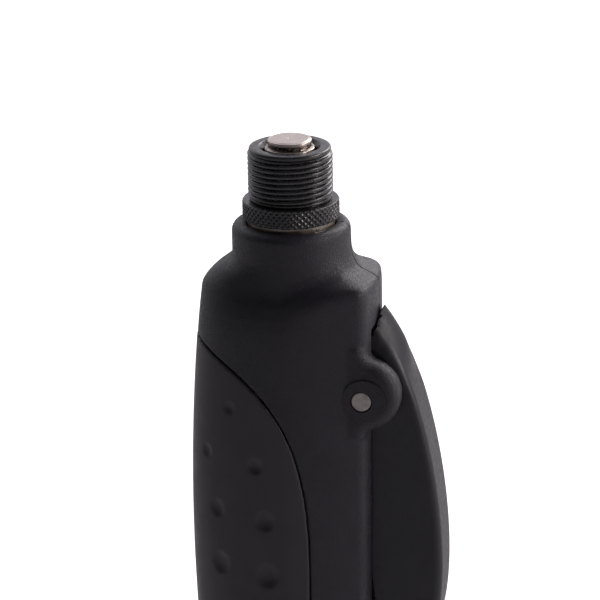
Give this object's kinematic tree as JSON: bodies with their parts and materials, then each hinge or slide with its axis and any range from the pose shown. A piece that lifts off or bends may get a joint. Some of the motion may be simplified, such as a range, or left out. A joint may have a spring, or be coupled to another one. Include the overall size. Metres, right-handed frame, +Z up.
{
  "type": "hand-held co2 tyre inflator",
  "caption": "Hand-held CO2 tyre inflator: two-part casing with rubber palm grip, squeeze lever, threaded outlet with sprung plunger and a screw cap under the gas cartridge.",
  "frame": {"origin": "centre of the flat lower face of the screw cap, on the body's axis", "axes": "+Z up along the body's axis to the outlet, +X towards the lever, +Y towards the left shell"},
  "size_m": [0.0486, 0.0272, 0.158],
  "materials": {
    "case_plastic": "black glass-filled nylon with a fine spark-eroded grain",
    "grip_rubber": "smooth moulded black rubber with a soft sheen",
    "screw_steel": "zinc plated",
    "lever_plastic": "black nylon, finer grain than the casing",
    "pin_steel": "ground, satin",
    "nickel_brass": "nickel plated, satin",
    "seal_rubber": "black nitrile",
    "spring_steel": "drawn stainless wire",
    "plain_brass": "turned",
    "black_anodised": "black anodised, satin, turned and knurled",
    "nickel_steel": "turned, bead blasted",
    "plain_aluminium": "drawn tube, satin",
    "cartridge_steel": "zinc plated drawn steel"
  },
  "bodies": {
    "casing": {"right_shell": "case_plastic", "left_shell": "case_plastic", "palm_grip": "grip_rubber", "shell_screws": "screw_steel", "valve_body": "nickel_brass", "stem_o_ring": "seal_rubber", "spring_plug": "plain_brass", "valve_spring": "spring_steel", "piercing_pin": "pin_steel", "cartridge_gasket": "seal_rubber", "outlet_nozzle": "black_anodised", "nozzle_o_ring": "seal_rubber", "plunger_spring": "spring_steel", "cartridge_tube": "plain_aluminium"},
    "lever": {"trigger_lever": "lever_plastic", "lever_pin": "pin_steel"},
    "valve": {"valve_stem": "pin_steel", "valve_seal": "seal_rubber"},
    "plunger": {"outlet_plunger": "nickel_steel", "plunger_foot": "plain_brass", "plunger_o_ring": "seal_rubber"},
    "cartridge": {"co2_cartridge": "cartridge_steel", "cap_pad": "seal_rubber"},
    "cap": {"bottom_cap": "black_anodised"}
  },
  "joints": [
    {"name": "lever_hinge", "type": "hinge", "parent": "casing", "child": "lever", "pos_m": [0.0146, 0, 0.11025], "axis": [0, 1, 0], "range_deg": [0, 5], "stiffness_Nm_per_rad": 1.5, "springref_deg": -1.72},
    {"name": "valve_slide", "type": "slide", "parent": "casing", "child": "valve", "axis": [0, 0, 1], "range_m": [0, 0.00115], "deforming": ["valve_spring"]},
    {"name": "plunger_slide", "type": "slide", "parent": "casing", "child": "plunger", "axis": [0, 0, -1], "range_m": [0, 0.002], "stiffness_N_per_m": 500, "springref_m": -0.004, "deforming": ["plunger_spring"]},
    {"name": "cap_travel", "type": "slide", "parent": "casing", "child": "cartridge", "axis": [0, 0, -1], "range_m": [0, 0.006]},
    {"name": "cap_turn", "type": "hinge", "parent": "cartridge", "child": "cap", "pos_m": [0, 0, 0.005], "axis": [0, 0, -1], "range_deg": [0, 1440]}
  ],
  "couplings": [
    {"joint": "lever_hinge", "follows": "valve_slide", "rad_per_m": 75.75},
    {"joint": "cap_turn", "follows": "cap_travel", "rad_per_m": 4188}
  ]
}
